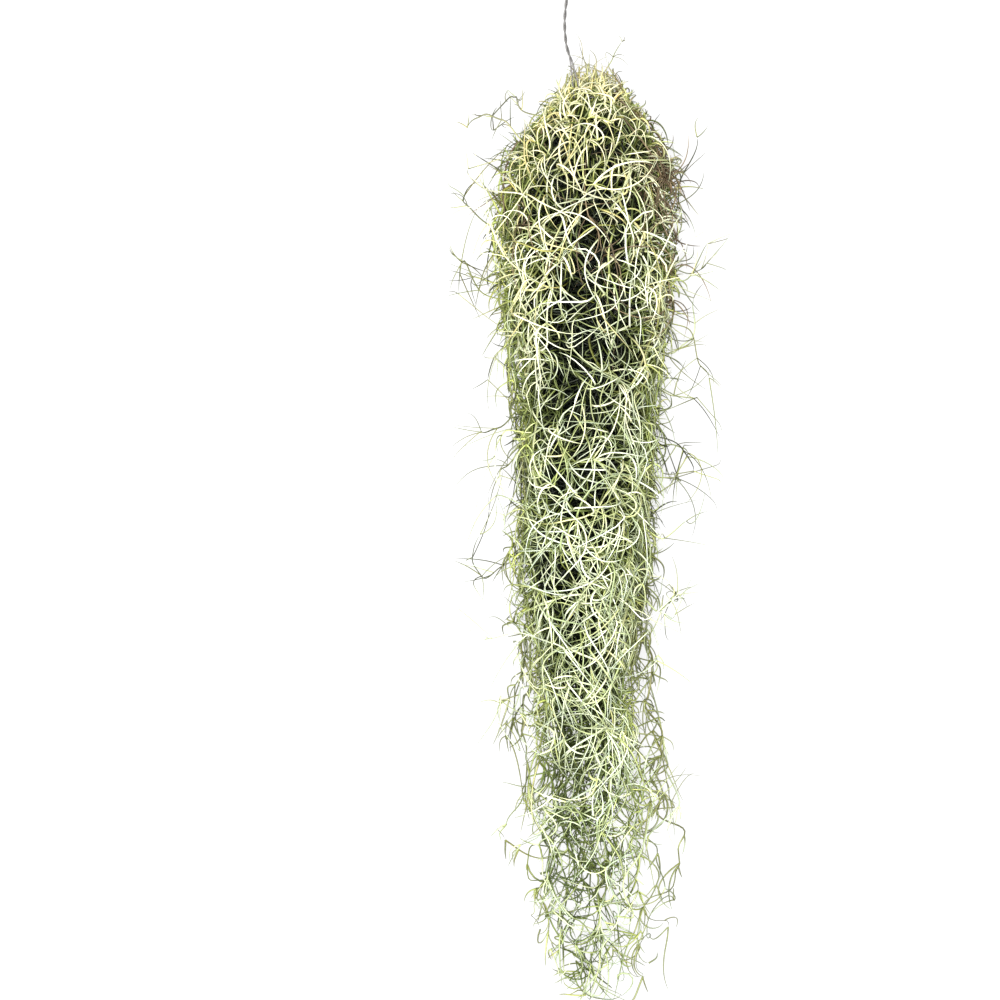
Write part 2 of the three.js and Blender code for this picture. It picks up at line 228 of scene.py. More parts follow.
# Middle of a strand at each distance down: its place in the cross-section times the bunch's spread,
# plus a wave that all strands share and a smaller one of its own. Y is -down.
def strandCentre(strand, down):
    side = 1 if strand["across"] < 0 else 2
    spread, half = throughRows(spreadRows, side, down), throughRows(spreadRows, 3, down)
    lying = half * math.sqrt(0.75) + strands["thickness"]
    settled = ease(down, bunch["tieDown"], bunch["looseDown"])
    rested = bunch["tieHeight"] + (lying - bunch["tieHeight"]) * settled
    loose = ease(down, bunch["tieDown"] + 8, bunch["looseDown"])
    raised = min(max((strand["up"] + math.sqrt(0.75)) / 2, 0), 1)
    wave = lambda turn, start: np.sin(down / turn * 2 * math.pi + start)
    lag = strands["sharedLag"]
    together = strands["sharedWave"] * wave(strands["sharedTurn"], lag * strand["up"])
    alone = strands["ownWave"] * spread * wave(strand["turn"], strand["start"])
    riseTurn = strands["sharedTurn"] / strands["sharedShorter"]
    rise = strands["sharedRise"] * wave(riseTurn, lag * strand["across"])
    aloneRise = strands["ownWave"] * half * wave(strand["turn"] * strands["ownRise"], strand["start"] * 2)
    return np.stack([
        strand["across"] * spread + loose * (together + alone),
        -down,
        rested + strand["up"] * half + loose * raised * (rise + aloneRise),
    ], -1)


# Half width, middle height and half height of the body of threads, on the left or right of its middle.
def outlineAt(down, x):
    left, right, middle, half = (throughRows(outlineRows, column, down) for column in (1, 2, 3, 4))
    return np.where(x < 0, left, right), middle, half


# How far out a point lies in the body of threads: 0 on its middle line, 1 on its outline. Also the way out.
def outness(p):
    wide, middle, half = outlineAt(-p[..., 1], p[..., 0])
    dx, dz = p[..., 0] / wide, (p[..., 2] - middle) / half
    wayOut = unit(np.stack([dx, np.zeros_like(dx), dz], -1))
    return np.hypot(dx, dz), wayOut


outlineHold = {
    "give": 0.25,  # how far past its reach a thread is held fully, as a share of the way out
    "turned": 0.8,  # share of its outward direction that it loses there
    "pushed": 0.1,  # and how hard it is pushed back
    "kept": 0.82,  # share of the way out up to which stems aren't drawn in
}


# A thread from its root: at each ring its direction turns about its axis by bend + sway sin(2 pi f s + p),
# the axis rolls about the direction, and the direction leans down the bunch. Past its reach it loses most
# of the part that points out of the bunch, so that it runs on along the outline.
def curlThreads(root, heading, axis, length, bend, sway, waves, roll, lean, reach, rings):
    count, steps = len(root), rings - 1
    points = np.empty((count, rings, 3))
    points[:, 0] = root
    direction, pivot = unit(heading), unit(axis)
    step = (length / steps)[:, None]
    leaning = lean[:, None] * np.array([0, -1, 0])
    for i in range(1, rings):
        turn = bend + sway * np.sin(2 * math.pi * waves[0] * (i / steps) + waves[1])
        direction = turned(direction, pivot, turn / steps)
        out, wayOut = outness(points[:, i - 1])
        past = np.clip((out - reach) / outlineHold["give"], 0, 1)[:, None]
        outwards = np.maximum((direction * wayOut).sum(-1, keepdims=True), 0)
        held = past * wayOut * (outlineHold["turned"] * outwards + outlineHold["pushed"])
        direction = unit(direction + leaning - held)
        pivot = unit(turned(pivot, direction, roll / steps))
        points[:, i] = points[:, i - 1] + direction * step
        points[:, i, 2] = np.maximum(points[:, i, 2], bunch["lowest"])
    return points


# Eases values that pass a limit back to it: limit + room tanh((v - limit) / room).
def easedBack(v, limit, room):
    return np.where(v > limit, limit + room * np.tanh(np.maximum(v - limit, 0) / room), v)


# Keeps threads inside the limits of the bunch and above the surface.
def heldInside(points):
    left, right, highest = bunch["softLimits"]
    beside, beyond = bunch["rooms"]
    x, y, z = points[..., 0], points[..., 1], points[..., 2]
    points[..., 0] = -easedBack(-easedBack(x, right, beside), -left, beside)
    points[..., 1] = -easedBack(-easedBack(y, bunch["crownLimit"], beyond), bunch["tailLimit"], beyond)
    points[..., 2] = np.maximum(easedBack(z, highest, beyond), bunch["lowest"])
    return points


# Draws points that stand far out of the body of threads back to its outline: their distance r from
# its middle line becomes a + (m - a)(1 - exp(-(r - a)/(m - a))), where a is keep and m is most.
def drawnIn(points, most=1.0, keep=outlineHold["kept"]):
    out, _ = outness(points)
    span = most - keep
    held = np.where(out > keep, keep + span * (1 - np.exp(-np.maximum(out - keep, 0) / span)), out)
    share = held / np.maximum(out, 1e-6)
    middle = throughRows(outlineRows, 3, -points[..., 1])
    points[..., 0] *= share
    points[..., 2] = middle + (points[..., 2] - middle) * share
    return points


# Tubes carried along paths: ring i of a tube is its point plus radius (cos a n + sin a b), where n is
# carried along the path without turning and b = t x n. Each ends in a point and has a closed root.
def tubesAlong(points, radii, sides):
    count, rings, _ = points.shape
    first, inner = points[:, 1:2] - points[:, :1], points[:, 2:] - points[:, :-2]
    tangent = unit(np.concatenate([first, inner, points[:, -1:] - points[:, -2:-1]], 1))
    normal = np.empty_like(points)
    across = np.where(np.abs(tangent[:, :1, 0]) < 0.7, [[1.0, 0, 0]], [[0, 0, 1.0]])  # not along the path
    carried = np.cross(tangent[:, 0], across)
    for i in range(rings):
        carried = unit(carried - tangent[:, i] * (carried * tangent[:, i]).sum(-1, keepdims=True))
        normal[:, i] = carried
    side = np.cross(tangent, normal)
    angle = np.arange(sides) / sides * 2 * math.pi
    circle = (normal[:, :-1, None] * np.cos(angle)[:, None] + side[:, :-1, None] * np.sin(angle)[:, None])
    skin = points[:, :-1, None] + circle * radii[:, :-1, None, None]
    verts = np.concatenate([skin.reshape(count, -1, 3), points[:, -1:]], 1)
    verts[..., 2] = np.maximum(verts[..., 2], 0)

    ring = np.arange(rings - 2)[:, None] * sides
    this, after = np.arange(sides), (np.arange(sides) + 1) % sides
    quads = np.stack([ring + this, ring + after, ring + sides + after, ring + sides + this], -1)
    lastRing, tip = (rings - 2) * sides, (rings - 1) * sides
    tips = np.stack([lastRing + this, lastRing + after, np.full(sides, tip)], -1)
    return verts, quads.reshape(-1, 4), tips, np.arange(sides)[::-1]


# Puts sets of tubes into one mesh. tints holds a colour for each ring. The map gives each tube a cell of
# its own: u = (column + margin + (1 - 2 margin) s) / columns along it, and v in the same way round it.
def meshOfTubes(name, sets, columns=8):
    margins = 0.02, 0.06
    allVerts, allTints, corners, starts, uvs = [], [], [], [], []
    vertAt = cornerAt = cellAt = 0
    cells = sum(len(s["points"]) for s in sets)
    rows = math.ceil(cells / columns)
    for s in sets:
        verts, quads, tips, root = tubesAlong(s["points"], s["radii"], s["sides"])
        count, perTube, rings, sides = len(verts), verts.shape[1], s["points"].shape[1], s["sides"]
        tint = np.repeat(s["tints"][:, :-1], sides, axis=1)
        allTints.append(np.concatenate([tint, s["tints"][:, -1:]], 1).reshape(-1, 3))
        allVerts.append(verts.reshape(-1, 3))
        loops = np.concatenate([quads.ravel(), tips.ravel(), root])
        sizes = np.concatenate([np.full(len(quads), 4), np.full(len(tips), 3), [sides]])
        tubeStarts = np.concatenate([[0], np.cumsum(sizes)[:-1]])
        offsets = vertAt + np.arange(count) * perTube
        corners.append((offsets[:, None] + loops).ravel())
        starts.append((cornerAt + np.arange(count)[:, None] * len(loops) + tubeStarts).ravel())

        way = loops // sides / (rings - 1)
        around = (loops % sides) / sides
        lower = np.repeat(np.arange(len(quads)) % sides, 4) / sides
        around[:len(quads) * 4] = lower + np.tile([0, 1, 1, 0], len(quads)) / sides
        around[len(quads) * 4:len(quads) * 4 + len(tips) * 3] = (
            np.repeat(np.arange(sides), 3) + np.tile([0, 1, 0.5], sides)) / sides
        cell = cellAt + np.arange(count)
        u = (cell[:, None] % columns + margins[0] + (1 - 2 * margins[0]) * way) / columns
        v = (cell[:, None] // columns + margins[1] + (1 - 2 * margins[1]) * around) / rows
        uvs.append(np.stack([u, v], -1).reshape(-1, 2))
        vertAt += count * perTube
        cornerAt += count * len(loops)
        cellAt += count

    verts = np.concatenate(allVerts)
    verts[:, 0] += bunch["origin"][0]
    verts[:, 1] += bunch["origin"][1]
    corners, starts = np.concatenate(corners), np.concatenate(starts)
    mesh = bpy.data.meshes.new(name)
    mesh.vertices.add(len(verts))
    mesh.vertices.foreach_set("co", (verts * mm).astype(np.float32).ravel())
    mesh.loops.add(len(corners))
    mesh.loops.foreach_set("vertex_index", corners.astype(np.int32))
    mesh.polygons.add(len(starts))
    mesh.polygons.foreach_set("loop_start", starts.astype(np.int32))
    mesh.polygons.foreach_set("use_smooth", np.ones(len(starts), bool))
    tint = mesh.attributes.new("tint", "FLOAT_COLOR", "POINT")
    rgba = np.concatenate([np.concatenate(allTints), np.ones((len(verts), 1))], 1)
    tint.data.foreach_set("color", rgba.astype(np.float32).ravel())
    layer = mesh.uv_layers.new(name="OFBake")
    layer.uv.foreach_set("vector", np.concatenate(uvs).astype(np.float32).ravel())
    mesh.update(calc_edges=True)
    mesh.validate()
    piece = bpy.data.objects.new(name, mesh)
    bpy.context.scene.collection.objects.link(piece)
    return piece


mossLook = {
    "stops": [(0, "peak"), (32, "crown"), (140, "upper"), (330, "middle"), (600, "tail")],  # distances down
    "peak": (0.27, 0.25, 0.14),
    "crown": (0.85, 0.79, 0.56),  # straw
    "upper": (0.94, 0.95, 0.75),
    "middle": (0.88, 0.92, 0.73),
    "tail": (0.72, 0.79, 0.56),
    "shadedGreen": (0.235, 0.29, 0.07),  # painted shade: darker green for threads a little inside and for unlit ones
    "deepShade": (0.007, 0.010, 0.003),  # painted shade: near-black for threads deep inside the bunch
    "tailDeepShade": (0.1, 0.13, 0.04),  # painted shade: dark olive in its place near the tips
    "tailDeepShadeDown": (360, 520),
    "paleOut": (0.8, 1.03),  # how far out threads turn from the painted shade's green to pale
    "darkOut": (0.66, 1.0),  # and from the near-black of the painted shade to full colour
    "crownGreen": (4, 34),  # distances down over which the darker green and near-black of the painted shade set in
    "crownDark": (12, 45),
    "depthSpread": 0.08,  # threads count as this much nearer or further out
    "openTail": (0.11, 330, 480),  # and all of them as further out, where the bunch is thin
    "openCrown": (0.05, 120, 220),
    "dim": (0.18, 0.5),  # share of threads that keep most of their green, high and low in the bunch
    "dimDown": (140, 260),
    "dimLight": (0.2, 0.6),
    "edge": (0.275, 0.305, 0.105),  # threads along the lower sides: their olive, darkened as painted shade of the flanks
    "edgeOut": (0.86, 1.08),
    "edgeHeight": (0.3, 0.8),  # above these heights no thread counts as one of the sides
    "wisp": (0.17, 0.18, 0.085),  # threads that stand out of the sides
    "wispOut": (1.0, 1.35),
    "wispShare": 0.85,
    "wispLight": (0.06, 2.4),
    "tailLight": 1.4,  # near the tips of the bunch they come nearer to this lightness
    "evened": (0.7, 300, 480),  # by this share
    "tip": (0.46, 0.52, 0.42),  # the tip of a thread, against its middle
    "sheath": (0.97, 1.0, 0.66),  # and its root
    "under": 0.34,  # share of the threads of the sides and the underside that get the pale painted light of the top
    "litHeight": (0, 0.7),
    "litBlend": 0.12,
    "shade": 0.85,  # how dark the painted shade of the others may be
    "aged": (0.9, 0.8, 0.55),  # older threads near the crown
    "agedShare": (0.15, 90, 210),
    "hue": (0.01, 0.035),  # mean and spread of the shift towards yellow
    "hueLimits": (-0.03, 0.12),
    "hueOf": (1, 0, -2.2),  # what it does to red, green and blue
    "lightSpread": 0.14,
    "lightLimits": (0.5, 1.3),
}
dryLook = {
    "root": (0.075, 0.052, 0.028),
    "tip": (0.20, 0.15, 0.085),
    "lightSpread": 0.3,
    "lightLimits": (0.45, 1.7),
}


# Blends from colour a to colour b: a (1 - share) + b share.
def blended(a, b, share):
    return np.array(a) * (1 - share) + np.array(b) * share


# A living thread's colour: a blend by distance down, then painted light and shade: towards a darker green
# and near-black by its depth in the bunch and for the unlit threads lower down, with lit threads on top
# kept pale. Then towards the colours of the sides, times one random lightness for each thread, and darker
# to its tip.
def livingTints(points):
    look, each, own = mossLook, (len(points), 1), (len(points), 1, 1)
    down = -points[..., 1]
    tint = np.broadcast_to(np.array(look["peak"]), points.shape).copy()
    for (above, _), (below, name) in zip(look["stops"], look["stops"][1:]):
        tint = blended(tint, look[name], ease(down, above, below)[..., None])
    out, _ = outness(points)
    _, middle, half = outlineAt(down, points[..., 0])
    height = (points[..., 2] - middle) / half
    # the lower sides turn to the olive edge colour, which holds painted shade of the flanks
    atSide = look["wispShare"] * ease(out, *look["edgeOut"]) * (1 - ease(height, *look["edgeHeight"]))
    far = ease(out, *look["wispOut"])[..., None]
    out = out + rng.normal(0, look["depthSpread"], each)
    out = out + setsIn(down, *look["openTail"]) + endsBy(down, *look["openCrown"])

    # painted light: threads high on the bunch are lit and stay pale, lower ones only by this share; the
    # rest get painted shade
    litShare = look["under"] + (1 - look["under"]) * ease(height, *look["litHeight"])
    lit = ease(litShare - rng.uniform(0, 1, each), -look["litBlend"], look["litBlend"])
    dimHigh, dimLow = look["dim"]
    dimShare = dimHigh + (dimLow - dimHigh) * ease(down[:, :1], *look["dimDown"])
    dim = np.where(rng.uniform(0, 1, each) < dimShare, rng.uniform(*look["dimLight"], each), 1)
    shade = (1 - lit) * look["shade"] * rng.uniform(0, 1, each)
    # painted shade: threads inside the bunch, or unlit ones, turn to the darker green
    shadeGreenness = (1 - ease(out, *look["paleOut"]) * lit * dim) * ease(down, *look["crownGreen"])
    # painted shade: near-black deep inside the bunch and on the unlit threads lower down
    paintedShade = np.maximum(1 - ease(out, *look["darkOut"]), shade) * ease(down, *look["crownDark"])
    deepShade = blended(look["deepShade"], look["tailDeepShade"], ease(down, *look["tailDeepShadeDown"])[..., None])
    tint = blended(tint, look["shadedGreen"], shadeGreenness[..., None])
    tint = blended(tint, deepShade, paintedShade[..., None])

    light = np.clip(rng.normal(1, look["lightSpread"], own), *look["lightLimits"])
    yellower = np.clip(rng.normal(*look["hue"], own), *look["hueLimits"])
    aged = rng.uniform(0, 1, each) < endsBy(down[:, :1], *look["agedShare"])
    least, most = look["wispLight"]
    ownLight = least + (most - least) * rng.uniform(0, 1, own) ** 1.5
    evened = setsIn(down, *look["evened"])[..., None]
    wisp = blended(look["edge"], look["wisp"], far) * blended(ownLight, look["tailLight"], evened)
    tint = blended(tint, wisp, atSide[..., None])
    hue = 1 + yellower * np.array(look["hueOf"])
    tint = tint * light * hue * np.where(aged[..., None], look["aged"], 1)
    way = np.linspace(0, 1, points.shape[1])[:, None]
    towardsTip = 1 + way**2 * (np.array(look["tip"]) - 1)
    towardsRoot = 1 + (1 - way)**4 * (np.array(look["sheath"]) - 1)
    return np.clip(tint * towardsTip * towardsRoot, 0.004, 0.97)


# A dry thread's colour: a blend from root to tip, times one random lightness for each thread.
def dryTints(points):
    tint = blended(dryLook["root"], dryLook["tip"], np.linspace(0, 1, points.shape[1])[:, None])
    light = np.clip(rng.normal(1, dryLook["lightSpread"], (len(points), 1, 1)), *dryLook["lightLimits"])
    return np.clip(tint * light, 0.01, 0.9)


stemShape = {
    "node": (23, 29, 40),  # distance down from one node to the next
    "steps": 8,  # rings from one node to the next
    "offset": 15,  # how far a node may stand from the strand's middle
    "swing": (0.9, 1.9),  # how far a stretch bulges, in node distances
    "shares": (1.0, 0.8, 0.62, 0.5),  # lengths of a strand's stems, as shares of the strand
    "innerShares": (1.0, 0.66, 0.55),
    "past": 18,  # stems end this far past the end of the strand's solid
    "before": 4,  # but at least this far from the end of the bunch
    "lengths": (0.97, 1.07),
    "closer": 0.25,  # how much closer the lower nodes stand, and how far each is off its even place
    "from": (0, 14),  # where the first stem starts, below the head of the strand
    "othersFrom": (12, 22),
    "tight": 0.1,  # how loose stems are under the noose
    "looseDown": (34, 85),
    "neckDown": (30, 60),  # from here on stems are drawn in to the outline
    "lowDown": (330, 480),  # lower nodes stand further out and turn more, with slopes that point more down
    "lowOffset": 1.25,
    "lowSideways": 0.6,
    "lowBent": 1.8,
    "fan": (-7, 14),  # how far low stems spread sideways: mean and spread
    "fanDown": (380, 560),
    "stragglers": (16, 34),  # how far the longest stems of the outermost strands spread
    "stragglersDown": (300, 520),
    "stragglersAcross": 0.8,
    "straying": 0.55,  # how far stems may stand out of the outline
    "strayingDown": {(60, 110): 0.4, (260, 420): 0.6},  # and the shares of that which set in further down
    "freeDown": (330, 450),  # stragglers may stand out further from here on
    "pull": (0.3, 1.1),  # how much of a slope points down
    "sideways": 0.75,  # and how much to the sides
    "bent": 0.4,  # how much a stem turns at a node
    "radius": (0.62, 0.9),
    "taper": (0.75, 6),
}


# The curve through nodes, where a stretch from p to q leaves with slope u and arrives with slope v:
# (2s^3-3s^2+1) p + (s^3-2s^2+s) u + (3s^2-2s^3) q + (s^3-s^2) v.
def hermite(place, u, v):
    s = (np.arange(stemShape["steps"]) / stemShape["steps"])[None, :, None]
    p, q = place[:-1, None], place[1:, None]
    line = (2*s**3 - 3*s**2 + 1)*p + (s**3 - 2*s**2 + s)*u + (3*s**2 - 2*s**3)*q + (s**3 - s**2)*v
    return np.concatenate([line.reshape(-1, 3), place[-1:]])


# One long stem of a strand: nodes stand round the strand's middle line, joined by a curve whose slopes
# point mostly down and are turned a little at each node. At the neck the stem isn't drawn in.
def stemLine(strand, share, fan):
    form = stemShape
    end = (strand["end"] + form["past"]) * share * rng.uniform(*form["lengths"])
    end = min(end, bunch["length"] - form["before"])
    nodes = int((end - strand["head"]) / rng.choice(form["node"])) + 1
    spacing = (end - strand["head"]) / nodes
    way = np.arange(nodes + 1) / nodes
    even = nodes * way * (1 + form["closer"] - form["closer"] * way)
    down = strand["head"] + spacing * (even + rng.uniform(-form["closer"], form["closer"], nodes + 1))
    down[0] = strand["head"] + rng.uniform(*form["from" if share == 1 else "othersFrom"])
    place = strandCentre(strand, down)
    spread = rng.normal(*form["fan"]) * ease(down, *form["fanDown"])
    place[:, 0] += spread + fan * ease(down, *form["stragglersDown"])

    loose = form["tight"] + (1 - form["tight"]) * ease(down, *form["looseDown"])
    low = ease(down, *form["lowDown"])
    angle = rng.uniform(0, 2 * math.pi, down.shape)
    reach = form["offset"] * np.sqrt(rng.uniform(0, 1, down.shape)) * loose
    reach *= 1 + (form["lowOffset"] - 1) * low
    place[:, 0] += reach * np.cos(angle)
    place[:, 2] += reach * np.sin(angle)
    aside = (loose * (1 + (form["lowSideways"] - 1) * low))[:, None]
    aside = aside * rng.normal(0, form["sideways"], place.shape)
    slope = np.array([0, -1.0, 0]) * rng.uniform(*form["pull"], down.shape)[:, None] + aside
    slope *= spacing * rng.uniform(*form["swing"], down.shape)[:, None]
    bent = (spacing * loose * (1 + (form["lowBent"] - 1) * low))[:, None]
    leaving = slope + rng.normal(0, form["bent"], place.shape) * bent
    line = hermite(place, leaving[:-1, None], slope[1:, None])

    reached = -line[:, 1]
    neck = ease(reached, *form["neckDown"])[:, None]
    stray = form["straying"] * (1 if fan else rng.uniform(0, 1) ** 1.5)
    most = 1 + stray * sum(part * ease(reached, *limits) for limits, part in form["strayingDown"].items())
    most += ease(reached, *form["freeDown"]) if fan else 0
    return heldInside(drawnIn(line.copy(), most) * neck + line * (1 - neck))[None]


leafShape = {
    "rings": 16,
    "radius": (0.42, 0.74),
    "taper": (0.86, 2.6),
    "atNode": 3,  # leaves in each whorl
    "between": 0.95,  # extra whorls for each node
    "spin": 2.1,  # radians from one leaf of a whorl to the next
    "spinSpread": 0.35,
    "opening": (30, 80),  # degrees between a leaf and its stem
    "closed": (0.35, 380, 520),  # how much less that is near the tips of the bunch
    "raised": (0.5, 90, 180),  # share of the leaves of the crown that point up
    "raisedBy": 0.3,
    "length": (28, 70),
    "crownLength": 0.45,  # share of that length at the crown
    "crownDown": (30, 90),
    "shorter": (0.25, 400, 540),  # and how much shorter they are near the tips
    "fewer": (0.5, 330, 600),  # share of the leaves that is missing there
    "bend": (0.9, 2.7),  # radians over the whole thread
    "curled": 0.34,  # share of threads that curl more
    "curlBend": (2.4, 5.0),
    "sway": 1.2,
    "waves": (0.3, 1.0),  # waves of that sway over a thread
    "roll": 1.0,
    "lean": (0.0, 0.12),
    "reach": (0.84, 1.12),  # how far out they stand, as a share of the way to the outline
    "beyondRoot": (-0.05, 0.25),  # and at least this far past their root
    "sideways": 0.7,  # how far the way out points sideways where threads end at their reach
    "leastShare": 0.35,  # and the least share of them that is left
    "unheld": 9,  # a reach that no thread comes to
    "wisps": 0.07,  # share of threads that stand out of the outline
    "wispReach": (1.1, 1.6),
    "wispBend": 0.6,
    "wispLength": 1.15,
}
innerLeafShape = {**leafShape, "rings": 9}
openLeafShape = {**leafShape, "curled": 0.12, "curlBend": (1.4, 3.0), "sway": 0.5, "roll": 0.6}
sprigLeafShape = {
    **openLeafShape,
    "radius": (0.28, 0.42),
    "atNode": 2,
    "between": 0.5,
    "length": (25, 58),
    "bend": (0.1, 1.0),
    "lean": (-0.03, 0.05),
    "reach": (1.9, 3.0),
}
topLeafShape = {
    **openLeafShape,
    "radius": (0.28, 0.4),
    "between": 0.2,
    "length": (28, 50),
    "bend": (0.2, 1.1),
    "reach": (1.4, 2.4),
}
dryLeafShape = {**leafShape, "radius": (0.4, 0.55)}


sprigShape = {
    "nodes": (2, 5),
    "apart": (19, 34),  # from one node to the next
    "turn": (0.3, 1.1),  # radians by which each stretch turns off the last
    "swing": (0.7, 1.3),
    "down": (30, 600),
    "rootOut": (0.5, 0.85),  # how far out in the bunch it starts
    "elsewhere": 0.02,  # and how likely it is to start further in
    "heading": (1.5, 1, 0.5),  # how much of the way out counts in X, Y and Z
    "straying": 0.35,
    "upwards": (0.7, -0.4),  # how much it points up at the crown, and lower down
    "upwardsDown": (110, 220),
    "keep": 1.05,  # share of the way out up to which it isn't drawn in
    "most": (1.15, 2.6),  # how far out of the outline it may stand, where the bunch is wide and narrow
    "furthest": (84, 90),  # and at most this far from the middle, its leaves too
    "radius": (0.44, 0.62),
    "perStem": (1, 3),
    "onSide": 3,  # sprigs on each strand of the sides
    "onTop": 1,
    "sideAcross": 0.6,  # where the sides begin, as a share of the spread
    "above": -0.5,  # strands that lie lower have no sprigs
}
# how often sprigs stand on the left and on the right, by distance down
sprigRows = np.array([
    (25, 0.3, 0.4),
    (60, 0.5, 0.9),
    (100, 0.9, 1.2),
    (150, 1.3, 1.2),
    (180, 1.2, 1.3),
    (225, 0.8, 1.2),
    (270, 0.4, 0.9),
    (350, 0.5, 0.8),
    (420, 0.5, 0.9),
    (520, 0.7, 0.9),
    (600, 0.4, 0.6),
], float)


# Share of each thread up to the ring where it first passes its reach at the sides of the bunch.
def shareInside(points, reach):
    out, wayOut = outness(points)
    passed = (out > reach[:, None]) & (np.abs(wayOut[..., 0]) > leafShape["sideways"])
    last = points.shape[1] - 1
    first = np.where(passed.any(1), passed.argmax(1), last)
    return np.clip(first / last, leafShape["leastShare"], 1)


# Leaves in whorls at the nodes, and some between. A leaf heads along the stem times cos(opening) plus its
# way out of the stem times sin(opening). It is made once unheld, to see where it would pass its reach at
# the sides, and then again at the share of its length up to there.
def leafSet(stem, form):
    steps, each, rings = stemShape["steps"], form["atNode"], form["rings"]
    nodes = np.arange(steps, stem.shape[1], steps)
    extra = rng.integers(1, stem.shape[1] - 1, int(len(nodes) * form["between"]))
    at = np.concatenate([nodes, extra])
    before, after = stem[0, at - 1], stem[0, np.minimum(at + 1, stem.shape[1] - 1)]
    root = np.repeat(stem[0, at], each, 0)
    tangent = np.repeat(unit(after - before), each, 0)
    spin = np.repeat(rng.uniform(0, 2 * math.pi, len(at)), each)
    spin = spin + np.tile(np.arange(each) * form["spin"], len(at))
    kept = rng.uniform(0, 1, len(root)) > setsIn(-root[:, 1], *form["fewer"])
    root, tangent, spin = root[kept], tangent[kept], spin[kept]
    down, total = -root[:, 1], len(root)

    aside = unit(np.cross(tangent, [0.3, 0.1, 1.0]))
    radial = turned(aside, tangent, spin + rng.normal(0, form["spinSpread"], total))
    opening = rng.uniform(*form["opening"], total) * (1 - setsIn(down, *form["closed"]))
    opening = np.radians(opening)[:, None]
    heading = tangent * np.cos(opening) + radial * np.sin(opening)
    raised = rng.uniform(0, 1, total) < endsBy(down, *form["raised"])
    heading[:, 1] = np.where(raised, np.abs(heading[:, 1]) + form["raisedBy"], heading[:, 1])
    axis = np.cross(heading, rng.normal(0, 1, (total, 3)))
    grown = form["crownLength"] + (1 - form["crownLength"]) * ease(down, *form["crownDown"])
    length = rng.uniform(*form["length"], total) * grown
    length *= 1 - setsIn(down, *form["shorter"])
    bend = rng.uniform(*form["bend"], total)
    curled = rng.uniform(0, 1, total) < form["curled"]
    bend = np.where(curled, rng.uniform(*form["curlBend"], total), bend)

    reach = rng.uniform(*form["reach"], total)
    reach = np.minimum(reach, sprigShape["furthest"][1] / throughRows(outlineRows, 1, down))
    wisp = rng.uniform(0, 1, total) < form["wisps"]
    reach = np.where(wisp, rng.uniform(*form["wispReach"], total), reach)
    reach = np.maximum(reach, outness(root)[0] + rng.uniform(*form["beyondRoot"], total))
    bend = bend * np.where(wisp, form["wispBend"], 1)
    length = length * np.where(wisp, form["wispLength"], 1)
    waves = (rng.uniform(*form["waves"], total), rng.uniform(0, 2 * math.pi, total))
    sway, roll = rng.normal(0, form["sway"], total), rng.normal(0, form["roll"], total)
    lean, unheld = rng.uniform(*form["lean"], total), reach + form["unheld"]
    free = curlThreads(root, heading, axis, length, bend, sway, waves, roll, lean, unheld, rings)
    share = shareInside(free, reach)
    length, bend, sway, roll = length * share, bend * share, sway * share, roll * share
    return heldInside(curlThreads(root, heading, axis, length, bend, sway, waves, roll, lean, reach, rings))


# The same curve with one slope at each node, times the distance between the two nodes.
def curveThrough(place, slope):
    gaps = np.linalg.norm(np.diff(place, axis=0), axis=1)[:, None, None]
    return hermite(place, slope[:-1, None] * gaps, slope[1:, None] * gaps)


# Points at angles round the bunch, at distances down and at a share of the way out to its outline.
def placesRound(turn, down, reach):
    wide, middle, half = outlineAt(down, np.cos(turn))
    return np.stack([np.cos(turn) * wide * reach, -down, middle + np.sin(turn) * half * reach], -1)


crownShape = {
    "nodes": 5,
    "height": (13, 82),  # distances down between which the nodes stand
    "rootDown": (20, 34),
    "reach": (0.5, 0.98),
    "angle": 0.7,
    "swing": (0.9, 1.7),
    "radius": (0.54, 0.78),
    "sprigs": 1,
}
collarShape = {  # over the noose
    **crownShape,
    "height": (15, 46),
    "reach": (0.8, 1.05),
    "angle": 0.5,
    "sprigs": 2,
    "above": 0.8,  # on the strands that lie highest
}
dryCrownShape = {**crownShape, "height": (30, 84), "reach": (0.85, 1.1), "angle": 0.35, "sprigs": 3}


# A short stem of the crown: it leaves the strand's neck, and its other nodes stand at random heights round
# the crown near its outline, joined by the same curves as in the long stems.
def crownStem(strand, form=crownShape):
    count = form["nodes"]
    low, high = form["height"]
    down = low + (high - low) * rng.uniform(0, 1, count) ** 0.7
    begin = math.atan2(strand["up"], strand["across"] + 1e-3)
    turn = begin if strand["ring"] else rng.uniform(0, 2 * math.pi)
    turn = turn + np.cumsum(rng.normal(0, form["angle"], count))
    place = placesRound(turn, down, rng.uniform(*form["reach"], count))
    place[0] = strandCentre(strand, np.array([rng.uniform(*form["rootDown"])]))[0]
    slope = unit(rng.normal(0, 1, place.shape)) * rng.uniform(*form["swing"], count)[:, None]
    return heldInside(drawnIn(curveThrough(place, slope)))[None]


topShape = {
    "from": (10, 26),  # distance down of the root
    "nodes": 2,
    "apart": (7, 14),
    "lean": 0.75,  # how far it leans outwards
    "leanAll": (0.25, 0.15),  # and how far they all lean to the right and up
    "straying": 0.4,
    "bent": 0.3,
    "radius": (0.5, 0.64),
    "share": 0.2,  # share of the inner strands that have one
}


